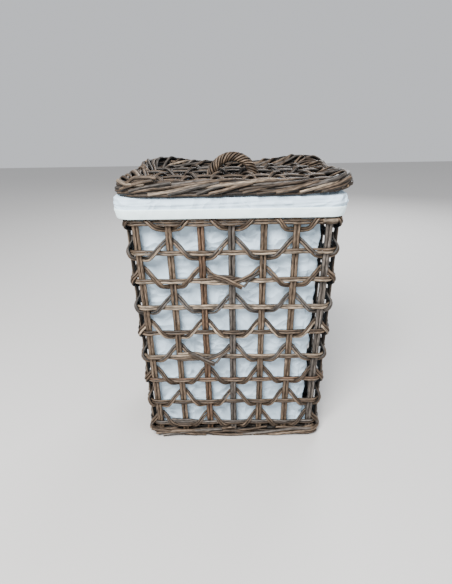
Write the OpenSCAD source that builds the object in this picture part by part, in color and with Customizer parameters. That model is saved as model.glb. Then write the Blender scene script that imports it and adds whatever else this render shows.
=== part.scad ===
// Rectangular laundry basket of openly woven rattan canes, with a cotton
// liner folded over the rim and a loose woven lid. The origin is the middle
// of the base on the floor, the front is -Y and +Z is up.

/* [Wall] */
// Width of the post wall at the top rail
wall_w = 417; // [380:1:480]
// Depth of the post wall at the top rail
wall_d = 297; // [270:1:360]
// Outward lean of every wall, in mm per mm of height
lean = 0.0313; // [0.02:0.0001:0.05]
// Corner radius of the post wall
corner_r = 19; // [19:0.5:24]

/* [Canes] */
// Diameter of an upright post cane
post_d = 6.5; // [5:0.1:7]
// Diameter of a rail cane
rail_d = 5; // [4:0.1:5.2]
// Diameter of a wave cane, corner to corner
wave_d = 4.8; // [4:0.1:5]
// Gap between the two canes of a pair
pair_gap = 0.6; // [0.5:0.1:1.5]

/* [Rows] */
// Height of the lowest rail pair
first_rail_z = 37; // [31:0.5:38]
// Height from one rail pair to the next
rail_step = 60.3; // [58:0.1:62]

/* [Rim and foot] */
// Diameter of a rim or foot rod
rod_d = 9; // [8:0.1:9.5]
// Width of the flat base frame
base_frame_w = 13; // [10:0.5:16]
// Number of canes in the base
base_cane_count = 11; // [7:1:13]

/* [Liner] */
// Thickness of the cotton
cloth_t = 1.2; // [1:0.1:1.4]
// Height of the lower edge of the cuff
cuff_z = 530; // [528:1:536]
// Height of the doubled hem at the lower edge of the cuff
hem_h = 19; // [12:1:24]

/* [Lid] */
// Width across the middle line of the lid's frame
lid_frame_w = 404; // [390:1:410]
// Depth across the middle line of the lid's frame
lid_frame_d = 284; // [276:1:292]
// Diameter of a border rod
border_d = 10; // [9:0.1:10.2]
// Distance between the pairs of ribs
rib_step = 60; // [56:1:62]
// Height of the ribs' middle line above the lid's underside
rib_h = 15; // [10:0.5:16]

/* [Handle] */
// Radius of the arch's middle line
arch_r = 40; // [36:0.5:42]
// Diameter of the core rod
core_d = 11; // [9:0.5:12]
// Diameter of a wrapping cane
wrap_d = 4; // [3.4:0.1:4.2]

/* [Hidden] */
ROWS = 9;
FRONT_POSTS = 7;
SIDE_POSTS = 5;
POSTS = 2 * (FRONT_POSTS + SIDE_POSTS);
CORNER_STEPS = 4;
GAP = 0.3;
WAVE_SIDES = 4;
WRAP_SIDES = 4;
WRAP_CANES = 6;
WRAP_TURNS = 3;
WRAP_RINGS = 36;

top_rail_z = first_rail_z + (ROWS - 1) * rail_step;

// offsets from the middle of the post wall, outward
rail_out = (post_d + rail_d) / 2 + 0.5;
wave_in = -(post_d + wave_d) / 2 - 1.8;
wave_out = rail_out + (rail_d + wave_d) / 2 + 1.9;
wave_half = wave_d / 2 + 0.45;

// stations of a wave between a crest and the next trough:
// [share of the gap, offset from the wall, height from the rail pair]
WAVE_STATIONS = [[0.22, wave_in, 19.5], [0.37, wave_out, 8], [0.61, wave_out, -12.4], [0.83, wave_in, -14.7]];
CORNER_STATIONS = [[0.34, wave_in, 15.7], [0.44, wave_out, 10], [0.6, wave_out, -9.3], [0.66, wave_in, -14.1]];

// rim: [offset from the wall, height] of each rod
rim_z = 566;
rim_pitch = rod_d + 0.5;
RIM_RODS = [[0, 0], [rim_pitch, 0], [rim_pitch, -rim_pitch - 0.5]];
post_top_z = rim_z - rod_d / 2 - GAP;

// foot: offset of each rod from the wall, all of them lying on the floor
foot_z = rod_d / 2;
FOOT_RODS = [-rod_d / 2 - 0.7, rod_d / 2, rod_d * 1.5 + 0.6];
post_foot_z = rod_d + GAP;
base_frame_h = 9;
base_frame_out = FOOT_RODS[0] - rod_d / 2 - 1;
base_cane_d = 6;
base_runner_count = 3;

// liner
liner_out = wave_in - wave_d / 2 - 1.8;
liner_foot_z = base_frame_h + base_cane_d + 1;
rim_top_z = rim_z + rod_d / 2;
fold_z = rim_top_z + GAP;
cuff_in = rim_pitch + rod_d / 2 + 1.2;
hem_t = 0.8;

// lid, which lies on the folded cloth
lid_z = fold_z + cloth_t + GAP;
lid_corner_r = 22;
border_pitch = border_d + 0.3;
// [offset from the frame's middle line, height above the lid's underside]
BORDER_LOW = [[border_pitch, 0], [2 * border_pitch, border_pitch / 2]];
BORDER_HIGH = [[border_pitch, 2 * border_pitch], [2 * border_pitch, border_pitch * 1.5]];
frame_d = 9;
rib_z = lid_z + rib_h;
rib_d = 5.5;
lid_rail_z = rib_z + (rib_d + rail_d) / 2 + 0.5;
RIBS = 7;
LID_ROWS = [-105, -45, 45, 105];
arch_drop = 2;
arch_z = rib_z - arch_drop;
arch_foot = 7;

// ---- the leaning wall ----

// half width, half depth of the middle of the post wall at height z
function half_w(z) = wall_w / 2 + lean * (z - top_rail_z);
function half_d(z) = wall_d / 2 + lean * (z - top_rail_z);

// index of the first post on each side, counted round from the front left
FIRST = [0, FRONT_POSTS, FRONT_POSTS + SIDE_POSTS, 2 * FRONT_POSTS + SIDE_POSTS];
function side_of(i) = i < FIRST[1] ? 0 : i < FIRST[2] ? 1 : i < FIRST[3] ? 2 : 3;
function side_posts(s) = s % 2 == 0 ? FRONT_POSTS : SIDE_POSTS;
function side_out(s) = [[0, -1], [1, 0], [0, 1], [-1, 0]][s];
function side_along(s) = [[1, 0], [0, 1], [-1, 0], [0, -1]][s];
// half of a side's straight run, and the distance of the side from the middle
function side_run(s, z) = (s % 2 == 0 ? half_w(z) : half_d(z)) - corner_r;
function side_far(s, z) = s % 2 == 0 ? half_d(z) : half_w(z);
function is_corner(i) = side_of(i) != side_of((i + 1) % POSTS);

// middle of post i's pair at height z
function post_at(i, z) =
    let (s = side_of(i), share = 2 * (i - FIRST[s]) / (side_posts(s) - 1) - 1)
    side_along(s) * side_run(s, z) * share + side_out(s) * side_far(s, z);

// point a share f of the way from post i to the next, at an offset out of the wall
function wall_at(i, f, z, out) =
    let (s = side_of(i), p = post_at(i, z), q = post_at((i + 1) % POSTS, z))
    is_corner(i)
    ? p - side_out(s) * corner_r + (corner_r + out) * (cos(90 * f) * side_out(s) + sin(90 * f) * side_along(s))
    : p + (q - p) * f + side_out(s) * out;
function wall_out(i, f) =
    let (s = side_of(i))
    is_corner(i) ? cos(90 * f) * side_out(s) + sin(90 * f) * side_along(s) : side_out(s);
function xyz(p, z) = [p[0], p[1], z];

// ---- canes ----

function unit(v) = v / norm(v);

// ring of a swept cane round p, square to the direction t, turned towards ref
function ring(p, t, ref, r, sides) =
    let (a = unit(ref - (ref * t) * t), b = cross(t, a))
    [for (k = [0:sides - 1]) p + r * (cos(360 * k / sides) * a + sin(360 * k / sides) * b)];

// triangles of a swept cane whose points begin at index start
function tube_faces(rings, sides, start, closed) = concat(
    [for (i = [0:rings - (closed ? 1 : 2)], k = [0:sides - 1])
        let (j = start + (i + 1) % rings * sides, h = start + i * sides, n = (k + 1) % sides)
        each [[h + k, j + k, j + n], [h + k, j + n, h + n]]],
    closed ? [] : [[for (k = [0:sides - 1]) start + k],
        [for (k = [sides - 1:-1:0]) start + (rings - 1) * sides + k]]);

// several swept canes as one polyhedron; routes and refs are lists of point lists
module canes(routes, refs, r, sides, closed) {
    rings = len(routes[0]);
    last = rings - 1;
    points = [for (c = [0:len(routes) - 1], i = [0:last])
        let (route = routes[c],
            before = closed ? route[(i + last) % rings] : route[max(i - 1, 0)],
            after = closed ? route[(i + 1) % rings] : route[min(i + 1, last)])
        each ring(route[i], unit(after - before), refs[c][i], r, sides)];
    faces = [for (c = [0:len(routes) - 1]) each tube_faces(rings, sides, c * rings * sides, closed)];
    polyhedron(points, faces, convexity = 10);
}

// straight round cane between two points
module cane(from, to, d) {
    v = to - from;
    translate(from)
        rotate([0, acos(v[2] / norm(v)), atan2(v[1], v[0])])
            cylinder(h = norm(v), d = d, $fn = 24);
}

// round cane bent into a closed rounded rectangle: rx, ry are half the straight runs
module hoop(rx, ry, r, z, d) {
    for (s = [-1, 1]) {
        cane([-rx, s * (ry + r), z], [rx, s * (ry + r), z], d);
        cane([s * (rx + r), -ry, z], [s * (rx + r), ry, z], d);
    }
    for (c = [[1, 1, 0], [-1, 1, 90], [-1, -1, 180], [1, -1, 270]])
        translate([c[0] * rx, c[1] * ry, z])
            rotate(c[2])
                rotate_extrude(angle = 90, $fn = 64)
                    translate([r, 0])
                        circle(d = d, $fn = 24);
}

// hoop that follows the wall at height z, at an offset out of it
module wall_hoop(z, out, d) {
    hoop(half_w(z) - corner_r, half_d(z) - corner_r, corner_r + out, z, d);
}

// flat ring between two rounded rectangles with the same corner centres
module flat_ring(rx, ry, r_out, r_in, z, h) {
    translate([0, 0, z])
        linear_extrude(h)
            difference() {
                rounded(rx, ry, r_out);
                rounded(rx, ry, r_in);
            }
}

module rounded(rx, ry, r) {
    square([2 * rx, 2 * (ry + r)], center = true);
    square([2 * (rx + r), 2 * ry], center = true);
    for (x = [-rx, rx], y = [-ry, ry])
        translate([x, y])
            circle(r, $fn = 64);
}

// ---- basket ----

// the pairs of posts of one side
module posts(side) {
    pair = (post_d + pair_gap) / 2;
    for (i = [0:side_posts(side) - 1], s = [-1, 1])
        cane(xyz(post_at(FIRST[side] + i, post_foot_z) + s * pair * side_along(side), post_foot_z),
            xyz(post_at(FIRST[side] + i, post_top_z) + s * pair * side_along(side), post_top_z), post_d);
}

// height of a row, where row 1 is the top one
function row_z(row) = first_rail_z + (ROWS - row) * rail_step;

module rails(row) {
    color("#a58f78")
        for (s = [-1, 1])
            wall_hoop(row_z(row) + s * (rail_d + pair_gap) / 2, rail_out, rail_d);
}

// stations of post gap i in a row; crests sit on every second post
function is_crest(row, i) = (row + i) % 2 == 1;
function gap_stations(row, i) =
    let (down = is_corner(i) ? CORNER_STATIONS : WAVE_STATIONS)
    is_crest(row, i) ? down : [for (k = [3:-1:0]) [1 - down[k][0], down[k][1], down[k][2]]];

module wave(row) {
    z0 = row_z(row);
    stations = [for (i = [0:POSTS - 1], g = gap_stations(row, i)) [i, g[0], g[1], g[2]]];
    route = [for (g = stations) xyz(wall_at(g[0], g[1], z0 + g[3], g[2]), z0 + g[3])];
    out = [for (g = stations) xyz(wall_out(g[0], g[1]), 0)];
    count = len(route);
    aside = [for (i = [0:count - 1])
        unit(cross(out[i], route[(i + 1) % count] - route[(i + count - 1) % count]))];
    color("#8f7a66")
        canes([for (s = [-1, 1]) route + s * wave_half * aside], [out, out], wave_d / 2, WAVE_SIDES, true);
}

module rim_rods() {
    color("#8a7460")
        for (rod = RIM_RODS)
            wall_hoop(rim_z + rod[1], rod[0], rod_d);
}

module foot_rods() {
    color("#8a7460")
        for (out = FOOT_RODS)
            wall_hoop(foot_z, out, rod_d);
}

module base_frame() {
    color("#9c8468")
        flat_ring(half_w(0) - corner_r - base_frame_w, half_d(0) - corner_r - base_frame_w,
            corner_r + base_frame_w + base_frame_out, corner_r + base_frame_out, 0, base_frame_h);
}

// canes that run left to right on the base frame
module base_canes() {
    x = half_w(0) + base_frame_out - 1;
    y = half_d(0) + base_frame_out - base_frame_w;
    color("#a08a70")
        for (i = [0:base_cane_count - 1])
            translate([-x, y * (2 * i / (base_cane_count - 1) - 1), base_frame_h + base_cane_d / 2])
                rotate([0, 90, 0])
                    cylinder(h = 2 * x, d = base_cane_d, $fn = 24);
}

// stiffening canes under them, from the front of the frame to its back
module base_runners() {
    x = half_w(0) / 2;
    y = half_d(0) + base_frame_out - base_frame_w - GAP;
    color("#8a7460")
        for (i = [-1:base_runner_count - 2])
            translate([i * x, y, base_frame_h - base_cane_d / 2 - GAP])
                rotate([90, 0, 0])
                    cylinder(h = 2 * y, d = base_cane_d, $fn = 24);
}

// ---- liner ----

// outline of the liner at height z, with the same corner centres as the wall
function liner_outline(z, out) = [for (c = [0:3], k = [0:CORNER_STEPS])
    let (a = 90 * c + 90 * k / CORNER_STEPS,
        sx = c == 0 || c == 3 ? 1 : -1,
        sy = c < 2 ? 1 : -1)
    [sx * (half_w(z) - corner_r) + (corner_r + out) * cos(a),
        sy * (half_d(z) - corner_r) + (corner_r + out) * sin(a), z]];

// tapered sleeve of cloth from the base up to the fold
module liner_walls() {
    n = 4 * (CORNER_STEPS + 1);
    top = fold_z + cloth_t;
    points = concat(liner_outline(liner_foot_z, liner_out), liner_outline(top, liner_out),
        liner_outline(top, liner_out - cloth_t), liner_outline(liner_foot_z, liner_out - cloth_t));
    faces = [for (q = [0:3], k = [0:n - 1])
        let (m = (k + 1) % n, next = (q + 1) % 4)
        [q * n + k, next * n + k, next * n + m, q * n + m]];
    color("#e4e8ea")
        polyhedron(points, faces, convexity = 6);
}

// base panel sewn inside the sleeve
module liner_bottom() {
    z = liner_foot_z;
    color("#e4e8ea")
        translate([0, 0, z])
            linear_extrude(cloth_t)
                rounded(half_w(z) - corner_r, half_d(z) - corner_r, corner_r + liner_out - cloth_t - 0.1);
}

// corner centres shared by the cloth over the rim and outside it
cuff_rx = half_w(rim_z) - corner_r;
cuff_ry = half_d(rim_z) - corner_r;

module liner_fold() {
    color("#e4e8ea")
        flat_ring(cuff_rx, cuff_ry, corner_r + cuff_in, corner_r + liner_out + 0.4, fold_z, cloth_t);
}

module liner_cuff() {
    color("#eef1f2")
        flat_ring(cuff_rx, cuff_ry, corner_r + cuff_in + cloth_t, corner_r + cuff_in,
            cuff_z, fold_z + cloth_t - cuff_z);
}

module cuff_hem() {
    r = corner_r + cuff_in + cloth_t;
    color("#f4f6f6")
        flat_ring(cuff_rx, cuff_ry, r + hem_t, r, cuff_z, hem_h);
}

// ---- lid ----

module lid_hoop(out, z, d) {
    hoop(lid_frame_w / 2 - lid_corner_r, lid_frame_d / 2 - lid_corner_r, lid_corner_r + out, z, d);
}

module lid_frame() {
    color("#8a7460")
        lid_hoop(0, lid_z + border_d / 2 + border_pitch, frame_d);
}

// border rods: [offset, height above the lowest rod]
module lid_border(rods) {
    color("#9a846c")
        for (rod = rods)
            lid_hoop(rod[0], lid_z + border_d / 2 + rod[1], border_d);
}

// pairs of ribs from front to back
module lid_ribs() {
    y = (lid_frame_d - frame_d) / 2 - GAP;
    color("#a58f78")
        for (i = [-3:3], s = [-1, 1])
            translate([i * rib_step + s * (rib_d + pair_gap) / 2, y, rib_z])
                rotate([90, 0, 0])
                    cylinder(h = 2 * y, d = rib_d, $fn = 24);
}

// pairs of rails from left to right, on top of the ribs
module lid_rails() {
    x = (lid_frame_w - frame_d) / 2 - GAP;
    color("#a58f78")
        for (y = LID_ROWS, s = [-1, 1])
            translate([-x, y + s * (rail_d + pair_gap) / 2, lid_rail_z])
                rotate([0, 90, 0])
                    cylinder(h = 2 * x, d = rail_d, $fn = 24);
}

// a wave pair of the lid: under the ribs, over the rails, from the first rib to the last
module lid_wave(row) {
    stations = [for (i = [0:RIBS - 2], k = [0:3])
        let (crest = (row + i) % 2 == 1, g = WAVE_STATIONS[crest ? k : 3 - k])
        [i + (crest ? g[0] : 1 - g[0]), g[1], g[2]]];
    route = [for (g = stations) [(g[0] - 3) * rib_step, LID_ROWS[row - 1] + g[2], rib_z + g[1]]];
    last = len(route) - 1;
    up = [for (g = stations) [0, 0, 1]];
    aside = [for (i = [0:last])
        unit(cross([0, 0, 1], route[min(i + 1, last)] - route[max(i - 1, 0)]))];
    color("#8f7a66")
        canes([for (s = [-1, 1]) route + s * wave_half * aside], [up, up], wave_d / 2, WAVE_SIDES, false);
}

// ---- handle ----

module handle_core() {
    color("#8a7460")
        translate([0, 0, arch_z]) {
            rotate([90, 0, 0])
                rotate_extrude(angle = 180, $fn = 96)
                    translate([arch_r, 0])
                        circle(d = core_d, $fn = 24);
            for (s = [-1, 1])
                translate([s * arch_r, 0, -arch_foot])
                    cylinder(h = arch_foot, d = core_d, $fn = 24);
        }
}

// canes wound side by side round the arch
module handle_wrap() {
    wind_r = (core_d + wrap_d) / 2 + 1.1;
    // out of the core at angle a along the arch and turn w round it
    out = [for (c = [0:WRAP_CANES - 1])
        [for (i = [0:WRAP_RINGS])
            let (a = 180 * i / WRAP_RINGS, w = 360 * (c / WRAP_CANES + WRAP_TURNS * i / WRAP_RINGS))
            cos(w) * [cos(a), 0, sin(a)] + [0, sin(w), 0]]];
    routes = [for (c = [0:WRAP_CANES - 1])
        [for (i = [0:WRAP_RINGS])
            let (a = 180 * i / WRAP_RINGS)
            [0, 0, arch_z] + arch_r * [cos(a), 0, sin(a)] + wind_r * out[c][i]]];
    color("#a58f78")
        canes(routes, out, wrap_d / 2, WRAP_SIDES, false);
}

color("#9a8672") posts(0);  // front_posts
color("#9a8672") posts(1);  // right_posts
color("#9a8672") posts(2);  // back_posts
color("#9a8672") posts(3);  // left_posts
rails(1);  // rail_1
rails(2);  // rail_2
rails(3);  // rail_3
rails(4);  // rail_4
rails(5);  // rail_5
rails(6);  // rail_6
rails(7);  // rail_7
rails(8);  // rail_8
rails(9);  // rail_9
wave(1);  // wave_1
wave(2);  // wave_2
wave(3);  // wave_3
wave(4);  // wave_4
wave(5);  // wave_5
wave(6);  // wave_6
wave(7);  // wave_7
wave(8);  // wave_8
wave(9);  // wave_9
rim_rods();
foot_rods();
base_frame();
base_canes();
base_runners();
liner_walls();
liner_bottom();
liner_fold();
liner_cuff();
cuff_hem();
lid_frame();
lid_border(BORDER_LOW);  // lid_border_lower
lid_border([[border_pitch, border_pitch]]);  // lid_border_middle
lid_border(BORDER_HIGH);  // lid_border_upper
lid_ribs();
lid_rails();
lid_wave(1);  // lid_wave_1
lid_wave(2);  // lid_wave_2
lid_wave(3);  // lid_wave_3
lid_wave(4);  // lid_wave_4
handle_core();
handle_wrap();
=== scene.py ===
"""Looks of the woven laundry basket: rattan canes, cotton liner, woven lid and wound handle."""
import bpy
import math
import numpy as np
from mathutils import Matrix, Vector


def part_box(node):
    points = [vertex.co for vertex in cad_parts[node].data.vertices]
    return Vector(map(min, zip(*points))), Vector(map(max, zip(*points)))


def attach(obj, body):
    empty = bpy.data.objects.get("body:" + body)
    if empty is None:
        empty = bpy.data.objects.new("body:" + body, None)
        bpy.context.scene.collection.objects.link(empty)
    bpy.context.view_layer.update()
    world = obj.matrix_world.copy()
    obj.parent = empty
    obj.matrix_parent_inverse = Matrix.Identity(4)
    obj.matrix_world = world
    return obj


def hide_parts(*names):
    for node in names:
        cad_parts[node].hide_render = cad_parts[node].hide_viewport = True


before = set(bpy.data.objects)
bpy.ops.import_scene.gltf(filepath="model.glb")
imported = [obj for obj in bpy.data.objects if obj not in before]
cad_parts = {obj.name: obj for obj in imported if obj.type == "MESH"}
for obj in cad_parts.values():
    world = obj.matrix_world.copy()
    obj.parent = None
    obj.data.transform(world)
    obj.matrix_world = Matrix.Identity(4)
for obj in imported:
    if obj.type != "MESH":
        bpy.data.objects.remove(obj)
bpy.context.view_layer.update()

MM = 0.001
UP = (0, 0, 1.0)
POSTS_WIDE = 7          # post pairs on the front and the back
POSTS_DEEP = 5          # post pairs on each side
POSTS = 2 * (POSTS_WIDE + POSTS_DEEP)
ROWS = 9

POST_R = 3.7 * MM
RAIL_R = 2.7 * MM
WAVE_R = 2.7 * MM
BORDER_R = 3.9 * MM
FOOT_R = 3.3 * MM
WRAP_R = 2.6 * MM
CORNER_R = 19 * MM      # corner of the post wall, as in the CAD model
CAD_POST_R = 3.25 * MM

# (outward, along) of the front, right, back and left
WAYS = np.array((((0, -1), (1, 0)), ((1, 0), (0, 1)), ((0, 1), (-1, 0)), ((-1, 0), (0, -1))), float)
# (first post, posts) of each, counted from the front left
SIDES = ((0, POSTS_WIDE), (POSTS_WIDE, POSTS_DEEP),
         (POSTS_WIDE + POSTS_DEEP, POSTS_WIDE), (POSTS - POSTS_DEEP, POSTS_DEEP))

# cane colours, linear, and how often each is used
TAN = (0.085, 0.060, 0.041)
GREY = (0.060, 0.051, 0.044)
BROWN = (0.043, 0.029, 0.019)
RED = (0.080, 0.048, 0.030)
PALE = (0.190, 0.146, 0.106)
CUT_END = (0.22, 0.155, 0.10)
BODY_COLOURS = ((TAN, 8), (GREY, 3), (BROWN, 4), (RED, 1), (PALE, 2))
LID_COLOURS = ((TAN, 7), (GREY, 3), (BROWN, 5))
FRONT_COLOURS = ((TAN, 8), (PALE, 1), (GREY, 3), (BROWN, 4))
HANDLE_COLOURS = ((TAN, 9), (GREY, 3), (BROWN, 2))
FRONT_POST_COLOURS = (TAN, TAN, RED, GREY, TAN, TAN, GREY)

LID_SHIFT = 3 * MM      # the lid lies a little to the right
RIM_SHIFT = -4 * MM     # the rim's outer rods and the cuff lie a little to the left
THICK = (0.93, 1.06)    # thinnest and thickest cane of a kind
PER_GAP = 6             # points of a smooth path from one station to the next

# ------------------------------------ random colours, offsets and knots

KNOT_SWELL = 0.09       # how much thicker a cane is at a leaf scar
KNOT_WIDTH = 6 * MM
KNOT_GAP = (0.09, 0.22)     # metres from one leaf scar to the next


def pick_colour(rng, colours):
    """One of the cane colours, a little lighter or darker each time."""
    weights = np.array([w for _, w in colours], float)
    base = np.array(colours[rng.choice(len(colours), p=weights / weights.sum())][0])
    return base * rng.uniform(0.82, 1.18)


def wander(rng, s, size, lengths=(0.31, 0.12, 0.05)):
    """Smooth random offset along the distances s, about +-size."""
    out = np.zeros_like(s)
    for k, length in enumerate(lengths):
        per_metre = 2 * math.pi / (length * rng.uniform(0.8, 1.25))
        out += np.sin(s * per_metre + rng.uniform(0, 6.28)) / (k + 1.3)
    return out * size / 1.6


def knots(rng, s):
    """Thickening of a cane at its leaf scars: a factor along the distances s."""
    out = np.ones_like(s)
    at = rng.uniform(0, KNOT_GAP[1])
    while at < s[-1]:
        out += KNOT_SWELL * np.exp(-((s - at) / KNOT_WIDTH) ** 2)
        at += rng.uniform(*KNOT_GAP)
    return out


# ------------------------------------ swept canes

CREVICE_PAINTED_SHADE = 0.06          # painted shade: how much of its colour a cane keeps on the side that faces inward, in the crevices between canes
THICK_WANDER = 0.045    # smooth change of its thickness
TINT_WANDER = 0.10      # smooth change of its colour
PITH = 0.82             # radius of the pale pith in a sawn end
BARK_EDGE = 0.55        # how dark the bark round it is


def unit(v):
    return v / np.maximum(np.linalg.norm(v, axis=-1, keepdims=True), 1e-12)


def smooth_path(stations):
    """Catmull-Rom curve through the stations, with PER_GAP points from one to the next."""
    stations = np.asarray(stations, float)
    last = len(stations) - 1
    t = np.linspace(0, 1, PER_GAP, endpoint=False)[:, None]
    out = []
    for i in range(last):
        a, b, c, d = (stations[min(max(i + k, 0), last)] for k in (-1, 0, 1, 2))
        out.append(0.5 * (2 * b + (c - a) * t + (2 * a - 5 * b + 4 * c - d) * t ** 2
                          + (3 * b - a - 3 * c + d) * t ** 3))
    return np.vstack(out + [stations[last:]])


def painted_shade_share(angle):
    """Painted shade round a cane: how much of its colour it keeps at an angle round it, counted from
    outward, all of it on the outward side.
    """
    facing = np.clip((np.cos(angle) + 0.04) / 0.90, 0, 1) ** 1.4
    return CREVICE_PAINTED_SHADE + (1 - CREVICE_PAINTED_SHADE) * facing


def axes_along(path, ref, closed):
    """Directions along a cane, outward and sideways, at each of its points."""
    if closed:
        tangent = unit(np.roll(path, -1, 0) - np.roll(path, 1, 0))
    else:
        tangent = unit(np.gradient(path, axis=0))
    ref = np.broadcast_to(np.asarray(ref, float), path.shape)
    outward = unit(ref - (ref * tangent).sum(1, keepdims=True) * tangent)
    return tangent, outward, np.cross(tangent, outward)


def tube_faces(rows, sides, closed):
    """Quads of a tube of rows of points, its last row joined to the first if closed."""
    row = np.arange(rows if closed else rows - 1)[:, None]
    i, j = row * sides, (row + 1) % rows * sides
    k = np.arange(sides)
    m = (k + 1) % sides
    return np.stack([i + m, j + m, j + k, i + k], -1).reshape(-1, 4)


class Bundle:
    """Canes collected into one mesh, with each cane's colour (painted shade on its inward side included)
    and streak coordinates.
    """

    def __init__(self, name, seed):
        self.name = name
        self.rng = np.random.default_rng(seed)
        self.verts, self.faces, self.tints, self.streaks = [], [], [], []
        self.count = 0

    def add(self, path, radius, ref, colour, sides=9, closed=False, cut=True):
        """A cane along path; ref is the way outward, for the whole cane or for each of its points, and the
        side that keeps its colour while the far side gets painted shade.
        """
        tangent, outward, sideways = axes_along(path, ref, closed)
        s = np.concatenate([[0], np.cumsum(np.linalg.norm(np.diff(path, axis=0), axis=1))])
        r = radius * knots(self.rng, s) * (1 + wander(self.rng, s, THICK_WANDER))
        if closed:
            blend = np.clip(s / s[-1] * 8, 0, 1)
            r = r * blend + r[-1] * (1 - blend)
        angle = np.arange(sides) * 2 * math.pi / sides
        cos, sin = np.cos(angle)[:, None], np.sin(angle)[:, None]
        verts = path[:, None] + (cos * outward[:, None] + sin * sideways[:, None]) * r[:, None, None]
        streak = np.empty(verts.shape)
        streak[..., :2] = np.hstack([cos * radius + self.rng.uniform(0, 50), sin * radius])
        streak[..., 2] = s[:, None]
        uneven = 1 + wander(self.rng, s, TINT_WANDER, (0.4, 0.17, 0.07))
        # the cane's colour, with painted shade on the side away from ref
        tint = np.asarray(colour) * uneven[:, None, None] * painted_shade_share(angle)[:, None]
        self.faces.extend((tube_faces(len(path), sides, closed) + self.count).tolist())
        self._store(verts, tint, streak)
        if not closed and cut:
            self._end(path[0], -tangent[0], verts[0], streak[0], colour)
            self._end(path[-1], tangent[-1], verts[-1], streak[-1], colour)

    def _end(self, centre, out, rim, streak, colour):
        """A sawn end: a darker bark edge round a paler pith."""
        sides = len(rim)
        inner = centre + (rim - centre) * PITH + out * 0.5 * MM
        dark = np.asarray(colour) * BARK_EDGE
        verts = np.vstack([rim, inner, [centre + out * 0.4 * MM]])
        tint = np.vstack([np.tile(dark, (sides, 1)), np.tile(CUT_END, (sides + 1, 1))])
        coords = np.vstack([streak, streak, streak[:1]])
        start = self.count
        for k in range(sides):
            m = (k + 1) % sides
            quad = [start + k, start + m, start + sides + m, start + sides + k]
            tri = [start + sides + k, start + sides + m, start + 2 * sides]
            self.faces.extend([quad, tri])
        self._store(verts, tint, coords)

    def _store(self, verts, tint, streak):
        verts = verts.reshape(-1, 3)
        self.verts.append(verts)
        self.tints.append(tint.reshape(-1, 3))
        self.streaks.append(streak.reshape(-1, 3))
        self.count += len(verts)

    def build(self, body, nodes, material):
        """The mesh object, riding on body in place of the CAD nodes."""
        verts = np.vstack(self.verts)
        mesh = bpy.data.meshes.new(self.name)
        mesh.from_pydata(verts.tolist(), [], self.faces)
        # tint holds each point's colour with its painted shade
        tint = mesh.attributes.new("tint", "FLOAT_COLOR", "POINT")
        rgba = np.hstack([np.clip(np.vstack(self.tints), 0, 1), np.ones((len(verts), 1))])
        tint.data.foreach_set("color", rgba.astype(np.float32).ravel())
        streak = mesh.attributes.new("streak", "FLOAT_VECTOR", "POINT")
        streak.data.foreach_set("vector", np.vstack(self.streaks).astype(np.float32).ravel())
        mesh.materials.append(material)
        smooth_faces(mesh)
        return place(mesh, self.name, body, nodes)


def smooth_faces(mesh):
    mesh.validate()
    mesh.update()
    mesh.polygons.foreach_set("use_smooth", [True] * len(mesh.polygons))


def new_object(name, data):
    obj = bpy.data.objects.new(name, data)
    bpy.context.scene.collection.objects.link(obj)
    return obj


def place(mesh, name, body, nodes):
    obj = new_object(name, mesh)
    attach(obj, body)
    if nodes:
        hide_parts(*nodes)
    return obj


# ------------------------------------ the leaning wall

class Wall:
    """The middle of the post wall, read from the posts' boxes; it leans outward evenly."""

    def __init__(self):
        front_lo, front_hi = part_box("front_posts")
        side_lo, side_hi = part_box("right_posts")
        self.z0, self.z1 = front_lo.z, front_hi.z
        self.d0, self.d1 = -front_hi.y + CAD_POST_R, -front_lo.y - CAD_POST_R
        self.w0, self.w1 = side_lo.x + CAD_POST_R, side_hi.x - CAD_POST_R

    def half(self, z):
        """Half width and half depth at height z."""
        f = (z - self.z0) / (self.z1 - self.z0)
        return self.w0 + (self.w1 - self.w0) * f, self.d0 + (self.d1 - self.d0) * f

    def at(self, u, z, out):
        """Points u posts round from the front left, at height z and out from the wall; the ways out."""
        u, z, out = np.broadcast_arrays(np.mod(u, POSTS), z, out)
        w, d = self.half(z)
        points = np.zeros(u.shape + (3,))
        normals = np.zeros(u.shape + (3,))
        points[..., 2] = z
        for (first, count), (away, along) in zip(SIDES, WAYS):
            on = (u >= first) & (u < first + count)
            run, far = (w, d) if away[0] == 0 else (d, w)
            share = np.clip(u - first, 0, count - 1) / (count - 1)
            turn = np.clip(u - first - count + 1, 0, 1) * math.pi / 2
            normal = np.cos(turn)[..., None] * away + np.sin(turn)[..., None] * along
            spot = (((run - CORNER_R) * (2 * share - 1))[..., None] * along
                    + (far - CORNER_R)[..., None] * away + (CORNER_R + out)[..., None] * normal)
            points[on, :2] = spot[on]
            normals[on, :2] = normal[on]
        return points, normals


# ------------------------------------ materials

def new_material(name):
    mat = bpy.data.materials.new(name)
    mat.use_nodes = True
    return mat, mat.node_tree, mat.node_tree.nodes["Principled BSDF"]


def feed(tree, made, **sockets):
    """Set a node's inputs by name, each to a value or a link from another node, and give its outputs."""
    for key, value in sockets.items():
        socket = made.inputs[key.replace("_", " ")]
        if isinstance(value, bpy.types.NodeSocket):
            tree.links.new(value, socket)
        else:
            socket.default_value = value
    return made.outputs


def node(tree, kind, **sockets):
    """Outputs of a new node with these inputs."""
    return feed(tree, tree.nodes.new(kind), **sockets)


def attribute(tree, name):
    made = tree.nodes.new("ShaderNodeAttribute")
    made.attribute_name = name
    return made.outputs


def ramp(tree, source, stops):
    made = tree.nodes.new("ShaderNodeValToRGB")
    elements = made.color_ramp.elements
    while len(elements) < len(stops):
        elements.new(0.5)
    for element, (place_at, value) in zip(elements, stops):
        element.position = place_at
        element.color = (value, value, value, 1)
    return feed(tree, made, Fac=source)["Color"]


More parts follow.
